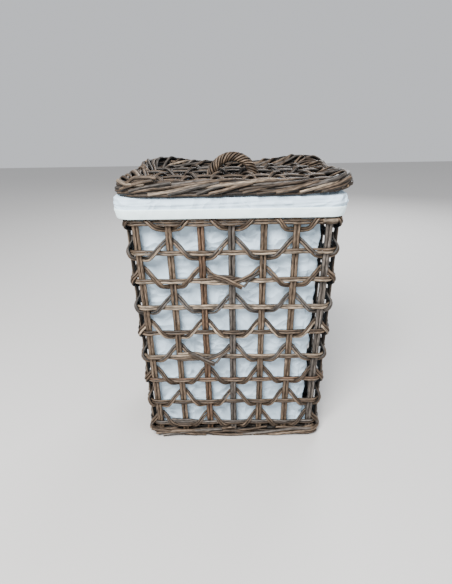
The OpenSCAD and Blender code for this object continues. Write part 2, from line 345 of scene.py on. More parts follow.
def mixed(tree, blend, share, a, b):
    made = tree.nodes.new("ShaderNodeMix")
    made.data_type = "RGBA"
    made.blend_type = blend
    return feed(tree, made, Factor=share, A=a, B=b)["Result"]


def multiply(tree, a, b):
    return mixed(tree, "MULTIPLY", 1.0, a, b)


def noise(tree, source, scale, detail, rough=0.5):
    return node(tree, "ShaderNodeTexNoise", Vector=source, Scale=scale, Detail=detail, Roughness=rough)


def bumped(tree, height, strength, distance, **below):
    """Normal of a bump of the given height, over the bumps in the Normal below."""
    made = tree.nodes.new("ShaderNodeBump")
    return feed(tree, made, Height=height, Strength=strength, Distance=distance, **below)["Normal"]


# noise scales across and along a cane
FIBRE_SCALE = (900, 900, 22)
BLOTCH_SCALE = (230, 230, 14)
PATCH_SCALE = (420, 420, 95)


def cane_material(name, rough, shade=1.0):
    """Unpeeled rattan: fibres and bark streaks along the cane, blotches and dark cracks, over colours that
    carry painted shade on each cane's inward side.
    """
    mat, tree, shader = new_material(name)
    # tint brings each cane's colour with its painted shade
    tint = attribute(tree, "tint")["Color"]
    streak = attribute(tree, "streak")["Vector"]

    def grain(scale, detail, roughness):
        """Noise drawn out along the cane."""
        along = node(tree, "ShaderNodeMapping", Vector=streak, Scale=scale)["Vector"]
        return noise(tree, along, 1.0, detail, roughness)["Fac"]
    fibre = grain(FIBRE_SCALE, 5.0, 0.65)
    fine = ramp(tree, fibre, ((0.32, 0.3 * shade), (0.5, shade), (0.68, 1.8 * shade)))
    blotch = ramp(tree, grain(BLOTCH_SCALE, 3.0, 0.6), ((0.33, 0.5), (0.5, 1.0), (0.67, 1.5)))
    patch = ramp(tree, grain(PATCH_SCALE, 2.0, 0.5), ((0.36, 0.45), (0.5, 1.0), (0.62, 1.5)))
    mottle = multiply(tree, multiply(tree, fine, blotch), patch)
    spread = node(tree, "ShaderNodeMapRange", Value=fibre, To_Min=rough - 0.12, To_Max=rough + 0.14)
    feed(tree, shader, Base_Color=multiply(tree, tint, mottle), Roughness=spread["Result"],
         Normal=bumped(tree, fibre, 0.55, 0.6 * MM), Specular_IOR_Level=0.22)
    return mat


def thread_height(tree, coords):
    """Height of plain-woven threads that cross at right angles."""
    both = tree.nodes.new("ShaderNodeMath")
    both.operation = "ADD"
    for socket, axis in zip(both.inputs, ("X", "Z")):
        wave = tree.nodes.new("ShaderNodeTexWave")
        wave.bands_direction = axis
        tree.links.new(feed(tree, wave, Vector=coords, Scale=420.0, Distortion=0.6)["Fac"], socket)
    return both.outputs["Value"]


def crumple_height(tree, coords):
    """Height of crumpled planes about 25 mm across, with bent edges."""
    pushed = mixed(tree, "MIX", 0.18, coords, noise(tree, coords, 9.0, 2.0)["Color"])
    return node(tree, "ShaderNodeTexVoronoi", Vector=pushed, Scale=40.0)["Distance"]


def cotton_material(name, colour, crumpled):
    """Plain-woven cotton: fine crossing threads, a slightly uneven white and crumpled planes."""
    mat, tree, shader = new_material(name)
    coords = node(tree, "ShaderNodeTexCoord")["Object"]
    plain = node(tree, "ShaderNodeRGB")["Color"]
    plain.default_value = (*colour, 1)
    shade = ramp(tree, noise(tree, coords, 14.0, 4.0, 0.6)["Fac"], ((0.3, 0.93), (0.7, 1.0)))
    threads = bumped(tree, thread_height(tree, coords), 0.25, 0.2 * MM)
    soft = bumped(tree, noise(tree, coords, 38.0, 3.0)["Fac"], 0.35, 1.5 * MM, Normal=threads)
    crumple = bumped(tree, crumple_height(tree, coords), crumpled, 16 * MM, Normal=soft)
    feed(tree, shader, Base_Color=multiply(tree, plain, shade), Normal=crumple,
         Roughness=0.9, Sheen_Weight=0.15, Specular_IOR_Level=0.2)
    return mat


# ------------------------------------ basket walls

SWAY = 0.35 * MM        # how far the wall's canes wander from their true lines


def make_posts(wall, material):
    """Upright canes in pairs, from the foot border up to the rim."""
    for side, name in enumerate(("front", "right", "back", "left")):
        bundle = Bundle("posts." + name, 100 + side)
        rng = bundle.rng
        first, count = SIDES[side]
        for i in range(count):
            shift = rng.normal(0, 0.6) * MM
            for s in (-1, 1):
                z = np.linspace(wall.z0 - 4 * MM, wall.z1, 90)
                points, out = wall.at(first + i, z, 0)
                along = np.cross(UP, out[0])
                path = points + along * (s * (POST_R - 0.15 * MM) + shift)
                path += along * wander(rng, z, SWAY)[:, None]
                path += out * wander(rng, z, SWAY)[:, None]
                colour = pick_colour(rng, BODY_COLOURS)
                if side == 0:
                    colour = np.array(FRONT_POST_COLOURS[i]) * rng.uniform(0.9, 1.12)
                bundle.add(path, POST_R * rng.uniform(0.93, 1.05), out[0], colour, sides=12)
        bundle.build("basket", [name + "_posts"], material)


def row_height(row):
    lo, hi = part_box("rail_%d" % row)
    return (lo.z + hi.z) / 2


RAIL_JOINS = (16.4, 9.5, 2.6, 20.4, 14.5, 1.4, 10.5, 21.6, 0.9)     # post where each row's rails overlap
RAIL_LAP = 0.55         # how many posts further they run past each other
RAIL_DIP = 0.34         # how far they dip in between the posts
PALE_ROD = (5.76, 6.32)     # the posts round between which a thick pale rod lies in the top row


def make_rails(wall, material):
    """Pairs of canes round the outside of the posts, dipped between them and lapped at their ends."""
    for row in range(1, ROWS + 1):
        bundle = Bundle("rail.%d" % row, 200 + row)
        rng = bundle.rng
        tilt = rng.normal(0, 0.7, POSTS) * MM
        for s in (-1, 1, 3) if row == 1 else (-1, 1):
            join = RAIL_JOINS[row - 1] + s * 0.12
            u = np.arange(join - RAIL_LAP, join + POSTS + RAIL_LAP, 1 / 8)
            near_post = np.cos(2 * math.pi * u) * 0.5 + 0.5
            out = (POST_R + RAIL_R) * (1 - RAIL_DIP * (1 - near_post)) + 0.1 * MM
            lift = np.interp(np.mod(u, POSTS), np.arange(POSTS + 1), np.append(tilt, tilt[0]))
            end = u - join if s > 0 else join + POSTS - u
            aside = np.clip(1.3 - end / RAIL_LAP, 0, 1)
            z = row_height(row) + s * (RAIL_R + 0.15 * MM) * (1 + 2 * aside ** 2) + lift
            z += wander(rng, u * 0.06, SWAY)
            path, normal = wall.at(u, z, out)
            radius = RAIL_R * rng.uniform(*THICK)
            bundle.add(path, radius, normal, pick_colour(rng, BODY_COLOURS), sides=10)
        if row == 1:
            u = np.arange(*PALE_ROD, 1 / 16)
            path, normal = wall.at(u, row_height(row) + 2.5 * MM, POST_R + RAIL_R * 2 + 1.5 * MM)
            bundle.add(path, 3.9 * MM, normal, np.array(PALE) * 0.8, sides=12)
        bundle.build("basket", ["rail_%d" % row], material)


# a wave from a crest to the next trough: (share of the gap, height in rail steps, how far out)
WAVE_SHAPE = ((0.0, 0.435, -1.0), (0.14, 0.34, -0.9), (0.30, 0.20, 0.25), (0.45, 0.055, 1.0),
              (0.62, -0.12, 0.9), (0.80, -0.215, -0.1), (1.0, -0.235, -1.0))
WAVE_JOINS = (17, 8, 3, 20, 13, 2, 11, 22, 17)      # trough where each row's waves overlap
FRONT_ENDS = (3, 6)     # rows whose waves end on the outside
# extra strands: (posts round, mm above the rail, how far out)
SPLICE_STRAND = ((0.36, -12, 1.3), (0.44, -5, 1.35), (0.60, 7, 1.2), (0.85, 14, 0.6))
PALE_STRAND = ((0.12, -15.5, 0.2), (0.34, -12, 1.2), (0.56, 2, 1.55), (0.74, 13, 1.2))


def zigzag(row, posts):
    """Stations (posts round, height in rail steps, how far out) of a wave over these posts."""
    stations = []
    for i in posts:
        down = (row + i) % 2 == 1
        shape = WAVE_SHAPE[:-1] if down else WAVE_SHAPE[:0:-1]
        stations += [(i + (share if down else 1 - share), high, out) for share, high, out in shape]
    return stations


def wave_stations(row, join):
    """Stations of a row's wave, once round from the post join, with its two ends."""
    last = join + POSTS
    stations = zigzag(row, range(join, last))
    if row in FRONT_ENDS:
        begin = [(join + 0.05, -0.05, 0.9), (join + 0.32, 0.06, 1.1), (join + 0.6, 0.20, 0.9)]
        end = [(last - 0.5, 0.17, 1.15), (last - 0.25, 0.05, 1.4),
               (last, -0.07, 1.7), (last + 0.3, -0.24, 1.5)]
        return begin + stations[5:-3] + end
    end = [(last, -0.235, -1.5), (last + 0.28, -0.215, -1.6)]
    return [(join - 0.3, -0.24, -1.3)] + stations + end


def add_strand(bundle, wall, first, row, stations, over, colour):
    """A short strand over the row's rails, its stations counted from the post first."""
    u, up, out = np.array(stations).T
    points, normal = wall.at(first + u, row_height(row) + up * MM, out * over)
    bundle.add(smooth_path(points), WAVE_R, smooth_path(normal), colour)


def make_waves(wall, material):
    """Pairs of canes that zigzag: behind every post and over the rails in between."""
    step = row_height(1) - row_height(2)
    behind = POST_R + WAVE_R * 0.75
    over = POST_R + RAIL_R * 1.2 + WAVE_R * 1.05
    for row in range(1, ROWS + 1):
        bundle = Bundle("wave.%d" % row, 300 + row)
        rng = bundle.rng
        join = WAVE_JOINS[row - 1]
        crest = rng.normal(0, 1.1, POSTS + 3) * MM
        spread = rng.uniform(-0.1, 0.4, POSTS + 3) * MM
        u, high, out = np.array(wave_stations(row, join)).T
        post = np.round(u).astype(int) - join
        for s in (-1, 1):
            z = row_height(row) + high * step + crest[post] + rng.normal(0, 0.3, len(u)) * MM
            points, normal = wall.at(u, z, out * np.where(out > 0, over, behind))
            aside = unit(np.cross(normal, np.gradient(points, axis=0)))
            points = points + s * (WAVE_R + spread[post] * (high > 0.3))[:, None] * aside
            bundle.add(smooth_path(points), WAVE_R * rng.uniform(*THICK), smooth_path(normal),
                       pick_colour(rng, BODY_COLOURS), sides=10)
        if row in FRONT_ENDS:
            add_strand(bundle, wall, join, row, SPLICE_STRAND, over, pick_colour(rng, BODY_COLOURS))
        if row == 2:
            add_strand(bundle, wall, 0, row, PALE_STRAND, over, PALE)
        bundle.build("basket", ["wave_%d" % row], material)


# ------------------------------------ borders of crossing rods

def loop_length(half_x, half_y, r):
    return 4 * (half_x + half_y - 2 * r) + 2 * math.pi * r


def loop_at(s, half_x, half_y, r):
    """Points and outward directions at distances s round a rounded rectangle, from its front left."""
    s = np.mod(s, loop_length(half_x, half_y, r))
    half_x, half_y, r = np.broadcast_arrays(half_x, half_y, r)
    points = np.zeros(s.shape + (2,))
    normals = np.zeros(s.shape + (2,))
    start = np.zeros(s.shape)
    for away, along in WAYS:
        run, far = (half_x, half_y) if away[0] == 0 else (half_y, half_x)
        length = 2 * (run - r) + math.pi / 2 * r
        on = (s >= start) & (s <= start + length)
        straight = np.clip(s - start, 0, 2 * (run - r))
        turn = np.clip(s - start - 2 * (run - r), 0, None) / r
        normal = np.cos(turn)[..., None] * away + np.sin(turn)[..., None] * along
        spot = (straight - run + r)[..., None] * along + (far - r)[..., None] * away + r[..., None] * normal
        points[on] = spot[on]
        normals[on] = normal[on]
        start = start + length
    return points, normals


def ring_cane(bundle, half_x, half_y, r, z, radius, colour, shift=0.0):
    """A cane bent into a closed rounded rectangle at height z."""
    steps = 120
    s = np.linspace(0, loop_length(half_x, half_y, r), steps, endpoint=False)
    points, normals = loop_at(s, half_x, half_y, r)
    points[:, 0] += shift
    path = np.column_stack([points, np.full(steps, z)])
    bundle.add(path, radius, np.column_stack([normals, np.zeros(steps)]), colour, closed=True)


def border_section(stations):
    """Smooth (out, up) of a border rod for shares along it, through (share, out, up)."""
    share, out, up = np.array(stations, float).T
    fine = np.linspace(0, 1, 80)
    soften = np.hanning(13) / np.hanning(13).sum()

    def smooth(values):
        return np.convolve(np.pad(np.interp(fine, share, values), 6, mode="edge"), soften, mode="valid")
    soft_out, soft_up = smooth(out), smooth(up)
    return lambda t: (np.interp(t, fine, soft_out), np.interp(t, fine, soft_up))


ROD_SWAY = 0.9 * MM     # how far a border's rods stray from their section


def crossing_rods(bundle, size, rods, length, section, radius, shape, tone=1.0, sides_only=False,
                  colours=LID_COLOURS, loose=1.0):
    """Rods laid round a loop, each starting low on the outside and passing over the ones before it.

    size is the loop's half width, half depth and corner; shape moves finished points of the border;
    tone darkens the rods, as painted shade where it is below 1, on rods that lie under and behind others;
    loose scatters them and sides_only leaves out those along the front."""
    rng = bundle.rng
    total = loop_length(*size)
    share = np.linspace(0, 1, 48)
    middle = len(share) // 2
    for k in range(rods):
        long = length * (1 + loose * rng.uniform(-0.2, 0.15))
        s = (k + loose * rng.uniform(-0.25, 0.25)) * total / rods + share * long
        out, up = section(share ** rng.uniform(0.75, 1.3))
        points, normals = loop_at(s, *size)
        if sides_only and normals[middle, 1] < -0.5:
            continue
        sway = rng.normal(0, ROD_SWAY * loose, 2)
        points = points + normals * (out + sway[0] + wander(rng, share * long, ROD_SWAY))[:, None]
        path = shape(np.column_stack([points, up + sway[1] + wander(rng, share * long, ROD_SWAY)]))
        # ref, mostly upward, is the side a rod keeps its colour on; the far side gets painted shade
        lean = 0.4 + np.clip(out / (10 * MM), -1, 1)
        ref = np.column_stack([normals * lean[:, None], np.full(len(share), 0.8)])
        bundle.add(path, radius * rng.uniform(0.78, 1.12), ref, pick_colour(rng, colours) * tone, sides=12)


def add_tips(bundle, tips, radius, thick, ref, front):
    """Rods whose sawn ends show at the front; front turns (across, height) into their y and z."""
    for tip in tips:
        x, up = np.array(tip, float).T * MM
        path = smooth_path(np.column_stack([x, *front(x, up)]))
        bundle.add(path, radius * bundle.rng.uniform(*thick), ref,
                   pick_colour(bundle.rng, FRONT_COLOURS), sides=12)


# the foot's: (across, height), mm
FOOT_TIPS = (((-197, 23), (-180, 20), (-140, 14), (-90, 6)),
             ((-186, 11), (-170, 13), (-120, 17), (-60, 15)),
             ((-170, 5), (-140, 10), (-90, 17), (-30, 21)),
             ((20, 6), (80, 12), (130, 19), (180, 20)))
TIP_OUT = 13 * MM       # how far in front of a border's loop such rods lie


def make_foot(wall, material):
    """Border that the posts end in: long rods crossing at shallow angles."""
    bundle = Bundle("foot.border", 410)
    low = FOOT_R + 0.4 * MM
    size = (*wall.half(0.0), CORNER_R)

    def sag(path):
        """The front lifts off the floor to both sides; nothing sinks into it."""
        across = path[:, 0] / size[0]
        path[:, 2] += 5 * MM * across ** 2 * (path[:, 1] < 0)
        path[:, 2] = np.maximum(path[:, 2], FOOT_R * 1.1)
        return path

    def front(x, up):
        return np.full_like(x, -size[1] - TIP_OUT), up
    # rods, length, tone and stations (share along a rod, mm out, mm up); a tone below 1 is painted shade on
    # the low and inner rods under the others
    for rods, length, tone, stations in (
            (12, 0.24, 1.0, ((0, 9, 0), (0.15, 12, 1), (0.5, 11, 7), (0.85, 8, 12), (1, 3, 13))),
            (9, 0.26, 1.0, ((0, 3, 12), (0.2, 8, 11), (0.6, 12, 3), (1, 12, 0))),
            (8, 0.20, 0.3, ((0, 3, 0), (0.5, 2, 2), (1, 3, 0))),
            (8, 0.20, 0.3, ((0, 4, 5), (0.5, 3, 6), (1, 4, 5))),
            (8, 0.24, 0.5, ((0, -5, 2), (0.5, -4, 6), (1, -5, 2)))):
        section = border_section([(share, out * MM, low + up * MM) for share, out, up in stations])
        crossing_rods(bundle, size, rods, length, section, FOOT_R * 0.92, sag, tone=tone)
    add_tips(bundle, FOOT_TIPS, FOOT_R, (0.9, 1.05), (0, -0.8, 0.6), front)
    bundle.build("basket", ["foot_rods"], material)


def make_rim(wall, material):
    """Rim rods under the folded cloth."""
    bundle = Bundle("rim.rods", 420)
    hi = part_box("rim_rods")[1]
    rod = 4.5 * MM
    w, d = wall.half(hi.z)
    for out, down in ((0, 0), (8.6, 0.3), (8.6, 10)):
        out *= MM
        ring_cane(bundle, w + out, d + out, CORNER_R + out, hi.z - rod - down * MM, rod,
                  pick_colour(bundle.rng, LID_COLOURS), shift=RIM_SHIFT * (out > 0))
    bundle.build("basket", ["rim_rods"], material)


def make_base(material):
    """Base frame, the canes across it and the runners under them."""
    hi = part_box("base_frame")[1]
    bundle = Bundle("base.frame", 430)
    for inset, z in ((3.2, 3.2), (9.6, 3.2), (6.4, 6.2)):
        ring_cane(bundle, hi.x - inset * MM, hi.y - inset * MM, 8 * MM, z * MM, 3.1 * MM,
                  pick_colour(bundle.rng, LID_COLOURS))
    bundle.build("basket", ["base_frame"], material)
    for name, node_name, axis, count in (("base.canes", "base_canes", 0, 11),
                                         ("base.runners", "base_runners", 1, 3)):
        lo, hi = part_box(node_name)
        bundle = Bundle(name, 431 + axis)
        rng = bundle.rng
        r = (hi.z - lo.z) / 2
        across = 1 - axis
        for i in range(count):
            s = np.linspace(lo[axis], hi[axis], 40)
            path = np.zeros((40, 3))
            path[:, axis] = s
            path[:, across] = lo[across] + r + (hi[across] - lo[across] - 2 * r) * i / (count - 1)
            path[:, across] += wander(rng, s, 0.8 * MM)
            path[:, 2] = (lo.z + hi.z) / 2
            bundle.add(path, r * 0.97, UP, pick_colour(rng, BODY_COLOURS))
        bundle.build("basket", [node_name], material)


# ------------------------------------ lid

# rods whose sawn ends show at the lid's front corners: (across, above its underside), mm
LID_TIPS = (((-213, 34), (-201, 27), (-187, 24), (-162, 22)),
            ((-200, 22), (-190, 30), (-178, 36), (-158, 36), (-140, 34)),
            ((-208, 17), (-185, 23), (-164, 28), (-146, 31)),
            ((-191, 12), (-173, 16), (-153, 20), (-113, 25)),
            ((152, 9), (172, 13), (194, 20), (211, 29), (219, 34)),
            ((122, 13), (158, 19), (190, 29), (210, 40)))
TIP_BEND = 170 * MM     # how far from the middle they start to bend back round the corner
LID_CORNER = 52 * MM


def make_lid_border(material):
    """Thick rods rolled round the lid's edge, which narrows to the back and turns up at its corners."""
    lo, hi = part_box("lid_border_lower")
    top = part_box("lid_border_upper")[1].z
    bundle = Bundle("lid.border", 510)
    half_x, half_y = hi.x - 18 * MM, hi.y - 11 * MM
    size = (half_x, half_y, LID_CORNER)
    low = lo.z + BORDER_R + 0.5 * MM
    high = top - BORDER_R

    def shape(path):
        back = np.clip(path[:, 1] / half_y, -1, 1)
        corner = np.minimum(1, np.hypot(path[:, 0] / half_x, path[:, 1] / half_y) / 1.25) ** 8
        right = np.clip(path[:, 0] / half_x, 0, 1) ** 3 * np.clip(-back, 0, 1)
        path[:, 0] = path[:, 0] * (1.0 - 0.04 * back) + LID_SHIFT
        path[:, 2] += (corner * (7 + 8 * back) + 8 * right) * MM
        return path

    def rods(count, length, stations, radius=1.0, **more):
        """Rods round the lid through stations (share along a rod, mm out, a level, mm above it)."""
        section = border_section([(share, out * MM, base + up * MM) for share, out, base, up in stations])
        crossing_rods(bundle, size, count, length, section, BORDER_R * radius, shape, **more)
    # rods rolled over the edge, then short ones outside them that show both their sawn ends
    rods(24, 0.24, ((0, 9, low, 9), (0.2, 11, low, 13), (0.5, 9, high, -2), (0.66, -2, high, 0),
                    (0.84, -18, high, -6), (1, -28, low, 9)), 0.95, colours=FRONT_COLOURS)
    rods(34, 0.09, ((0, 14, low, 1), (0.3, 15, low, 6), (0.7, 12, low, 14), (1, 7, high, -4)), 0.95,
         colours=FRONT_COLOURS, loose=1.6)
    rods(16, 0.18, ((0, 8, low, 15), (0.5, 6, high, -3), (1, -10, high, -2)), 0.8)
    # darker ones under and behind them, darkened as painted shade
    rods(14, 0.22, ((0, 9, low, -1), (0.5, 11, low, 0), (1, 9, low, -1)), 0.85, tone=0.55)
    rods(16, 0.20, ((0, 10, low, 5), (0.5, 11, low, 4), (1, 10, low, 5)), 0.9, tone=0.3)
    rods(14, 0.20, ((0, 5, low, 9), (0.5, 7, low, 11), (1, 5, low, 9)), tone=0.3)
    rods(12, 0.20, ((0, -4, low, 8), (0.5, -2, low, 12), (1, -4, low, 8)), tone=0.3)
    rods(12, 0.20, ((0, -12, low, 3), (0.5, -10, low, 8), (1, -12, low, 3)), tone=0.45)
    rods(40, 0.10, ((0, 13, low, 2), (0.3, 11, high, -4), (0.5, 0, high, 3), (0.75, -16, high, -6),
                    (1, -24, low, 4)), 0.92, sides_only=True)
    def front(x, up):
        """In front of the border, bent back and down round its corner."""
        back = np.clip(np.abs(x) - TIP_BEND, 0, None) ** 2 / (150 * MM)
        return back - half_y - TIP_OUT, lo.z + up - 0.3 * back
    add_tips(bundle, LID_TIPS, BORDER_R, (0.85, 1.0), (0, -0.7, 0.7), front)
    bundle.build("lid", ["lid_border_lower", "lid_border_middle", "lid_border_upper", "lid_frame"],
                 material)


RIBS = 7
RIB_STEP = 60 * MM
RIB_R = 2.9 * MM
LID_ROWS = (-105 * MM, -45 * MM, 45 * MM, 105 * MM)
LID_SWAY = 0.8 * MM         # how far its canes wander from their true lines


def make_lid_ribs(material):
    """Pairs of canes from the front of the lid to its back."""
    lo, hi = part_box("lid_ribs")
    bundle = Bundle("lid.ribs", 520)
    rng = bundle.rng
    y = np.linspace(lo.y - 6 * MM, hi.y + 6 * MM, 50)
    z = np.full_like(y, (lo.z + hi.z) / 2)
    for i in range(RIBS):
        for s in (-1, 1):
            x = (i - (RIBS - 1) / 2) * RIB_STEP + s * (RIB_R + 0.2 * MM) + LID_SHIFT
            x = x + wander(rng, y, LID_SWAY)
            bundle.add(np.column_stack([x, y, z]), RIB_R * rng.uniform(0.92, 1.06),
                       UP, pick_colour(rng, LID_COLOURS))
    bundle.build("lid", ["lid_ribs"], material)


def make_lid_rails(material):
    """Canes from left to right in each row: three over the ribs, and three under them darkened as painted
    shade.
    """
    lo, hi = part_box("lid_rails")
    bundle = Bundle("lid.rails", 530)
    rng = bundle.rng
    x = np.linspace(lo.x - 6 * MM, hi.x + 6 * MM, 120)
    z = (lo.z + hi.z) / 2 + 0.8 * MM * np.cos(2 * math.pi * x / RIB_STEP)
    under = z - 2 * (RIB_R + RAIL_R) - 1 * MM

    def lay(y, level, tone):
        bundle.add(np.column_stack([x + LID_SHIFT, y, level]), RAIL_R * rng.uniform(0.92, 1.06),
                   UP, pick_colour(rng, LID_COLOURS) * tone)
    for y0 in LID_ROWS:
        for s in (-2, 0, 2):
            lay(y0 + s * (RAIL_R + 0.15 * MM) + wander(rng, x, LID_SWAY), z, 1.0)
            # the lower canes are darkened as painted shade under the ribs
            lay(y0 + (s - 1) * (RAIL_R + 0.3 * MM) + wander(rng, x, 1.5 * LID_SWAY), under, 0.7)
    bundle.build("lid", ["lid_rails"], material)


def make_lid_waves(material):
    """Zigzag pairs of the lid: under the ribs and over the rails."""
    rib_z = sum(p.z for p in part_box("lid_ribs")) / 2
    rail_z = sum(p.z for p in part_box("lid_rails")) / 2
    under, over = RIB_R + WAVE_R * 0.8, rail_z - rib_z + RAIL_R * 1.3 + WAVE_R
    for row, y0 in enumerate(LID_ROWS, 1):
        bundle = Bundle("lid.wave.%d" % row, 540 + row)
        rng = bundle.rng
        ribs, high, out = np.array(zigzag(row, range(RIBS - 1))).T
        x = (ribs - (RIBS - 1) / 2) * RIB_STEP + LID_SHIFT
        z = rib_z + out * np.where(out > 0, over, under)
        points = np.column_stack([x, y0 + high * RIB_STEP, z])
        aside = unit(np.cross(UP, np.gradient(points, axis=0)))
        for s in (-1, 1):
            path = smooth_path(points + s * (WAVE_R + 0.25 * MM) * aside)
            bundle.add(path, WAVE_R * rng.uniform(*THICK), UP, pick_colour(rng, LID_COLOURS))
        bundle.build("lid", ["lid_wave_%d" % row], material)


# ------------------------------------ handle

HANDLE_CANES = 7
HANDLE_TURNS = 2.6
CORE_R = 5.6 * MM
SPLAY = ((6, 10), (17, 17), (32, 20))       # mm that the winding canes' ends reach out and fall


def arch(share, half, foot_z, top_z):
    """Points of the handle's middle line: upright at the feet and flatter at the top."""
    a = math.pi * (1 - share)
    splay = 1 + 0.10 * (1 - np.sin(a))
    x = half * splay * np.cos(a) + LID_SHIFT
    return np.column_stack([x, np.zeros_like(a), foot_z + (top_z - foot_z) * np.sin(a) ** 0.85])


def splayed_end(start, side, place_in_fan, cane_number):
    """The end of a winding cane, from the handle's foot on one side out over the lid's weave."""
    fan = 2 * place_in_fan / (HANDLE_CANES - 1) - 1
    aside = side * (0.35 + 0.25 * (cane_number % 2)) * (1 if cane_number % 3 else -1)
    leg = np.array([aside, fan, 0])
    return smooth_path([start + (leg * reach + [0, 0, -fall]) * MM for reach, fall in SPLAY])


def make_handle(material):
    """Bent core wound with thin canes, whose ends splay into the lid's weave."""
    lo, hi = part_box("handle_core")
    half = hi.x - CORE_R + 3 * MM
    foot_z, top_z = lo.z + 4 * MM, hi.z - CORE_R + 3.5 * MM
    core = Bundle("handle.core", 610)
    core.add(arch(np.linspace(0, 1, 60), half, foot_z, top_z), CORE_R, (0, 1, 0), BROWN)
    core.build("lid", ["handle_core"], material)
    wrap = Bundle("handle.wrap", 620)
    rng = wrap.rng
    share = np.linspace(0.05, 0.95, 130)
    middle = arch(share, half, foot_z, top_z)
    side = np.array([0, 1.0, 0])
    up = np.cross(side, unit(np.gradient(middle, axis=0)))
    for c in range(HANDLE_CANES):
        turn = 2 * math.pi * (c / HANDLE_CANES - HANDLE_TURNS * share) + wander(rng, share * 0.2, 0.07)
        out = np.cos(turn)[:, None] * up + np.sin(turn)[:, None] * side
        wind = (CORE_R + WRAP_R) * (1 + wander(rng, share * 0.2, 0.05)) * (1 + 0.25 * (2 * share - 1) ** 6)
        coil = middle + wind[:, None] * out
        left = splayed_end(coil[0], -1, c, c)[::-1]
        right = splayed_end(coil[-1], 1, HANDLE_CANES - 1 - c, c)
        upward = np.tile(UP, (len(left), 1))
        wrap.add(np.vstack([left, coil, right]), WRAP_R * rng.uniform(0.9, 1.05),
                 np.vstack([upward, out, upward]), pick_colour(rng, HANDLE_COLOURS))
    wrap.build("lid", ["handle_wrap"], material)


# ------------------------------------ liner

def ripple(x, y, seed, terms):
    """Smooth random height field: a sum of sines of the given (wavelength, height)."""
    rng = np.random.default_rng(seed)
    out = np.zeros(np.broadcast(x, y).shape)
    for length, height in terms:
        for _ in range(4):
            a = rng.uniform(0, 2 * math.pi)
            k = 2 * math.pi / (length * rng.uniform(0.75, 1.3))
            out += height * np.sin(k * (math.cos(a) * x + math.sin(a) * y) + rng.uniform(0, 6.28)) / 4
    return out


def creases(x, y, seed, spacing, depth, width):
    """Sharp folds along slightly bent lines at random slants: how far the cloth steps back at each."""
    rng = np.random.default_rng(seed)
    out = np.zeros(np.broadcast(x, y).shape)
    for _ in range(int(1.5 / spacing)):
        cx, cy, a = rng.uniform(0, 1.4), rng.uniform(0.02, 0.55), rng.normal(1.3, 0.7)
        along = (x - cx) * math.cos(a) + (y - cy) * math.sin(a)
        across = -(x - cx) * math.sin(a) + (y - cy) * math.cos(a) + 0.25 * along ** 2
        reach = rng.uniform(0.03, 0.09)
        out += rng.uniform(-1, 1) * depth * np.exp(-(along / reach) ** 2) * np.exp(-np.abs(across) / width)
    return out


def grid_mesh(name, points, closed=True):
    """Quads over a grid of points (rows, columns, 3), joined round if closed."""
    rows, cols = points.shape[:2]
    k = np.arange(cols if closed else cols - 1)
    n = (k + 1) % cols
    faces = [np.stack([i * cols + k, i * cols + n, (i + 1) * cols + n, (i + 1) * cols + k], -1)
             for i in range(rows - 1)]
    mesh = bpy.data.meshes.new(name)
    mesh.from_pydata(points.reshape(-1, 3).tolist(), [], np.vstack(faces).tolist())
    return mesh


def cloth_piece(name, points, material, nodes, closed=True):
    """A sheet over a grid of points, riding on the liner in place of the CAD nodes."""
    mesh = grid_mesh(name, points, closed)
    mesh.materials.append(material)
    smooth_faces(mesh)
    return place(mesh, name, "liner", nodes)


BAG_BACK = 12 * MM          # bag's distance inside the post wall
BAG_SLACK = 16 * MM         # how much further in its right side hangs
CUFF_TAPER = 4 * MM         # how far the hem is drawn in under the rim
RODS_BELOW = 20 * MM        # the rim rods hold the cuff out down to here
FOLD_BEND = 6 * MM          # how far the cloth rises above the straight cuff as it folds over the rim
CLOTH_IN = 0.6 * MM         # how far inside the CAD cloth's faces the sheet lies
HEM_THICK = 0.9 * MM
STITCH, STITCH_STEP = 3.4 * MM, 5.2 * MM
THREAD_R = 0.3 * MM
THREAD_WHITE = (0.75, 0.76, 0.78)
BAG_ROWS, FOLD_ROWS, CUFF_ROWS = 110, 16, 44
COLUMNS = 460


def cuff_push(s, z, top, bottom):
    """How far the cuff stands off its mean surface: long level wrinkles, slanting ones round the
    front right corner, and drawn in below the rods."""
    fall = np.clip((top - RODS_BELOW - z) / (top - RODS_BELOW - bottom), 0, 1)
    free = np.clip((z - bottom - 0.02) / 0.006, 0, 1) * np.clip((top - z) / 0.008, 0, 1)
    folds = np.abs(ripple(s * 0.13, z, 9, ((0.034, 2.2), (0.014, 1.9)))) * free
    slanting = np.abs(np.sin((z - 0.30 * s) * 300)) * np.exp(-((s - 0.425) / 0.04) ** 2) * 2.6 * free
    return (folds + slanting + 0.5 * np.sin(s * 2 * math.pi / 0.37)) * MM - CUFF_TAPER * fall ** 1.4


def bag_push(s, z, top, bottom, slack_side):
    """How far the bag stands off its mean surface: gathers, creases and the slack side's level folds."""
    free = np.clip((z - bottom) / 0.03, 0, 1) * np.clip((top - z) / 0.04, 0, 1)
    gathers = np.abs(ripple(s, z, 7, ((0.20, 3.0), (0.08, 1.4), (0.03, 0.5)))) + 1.2
    folds = 4 * slack_side * np.abs(np.sin(z * 52))
    return -((gathers + folds) * MM + creases(s, z, 8, 0.015, 2.6 * MM, 0.0035)) * free


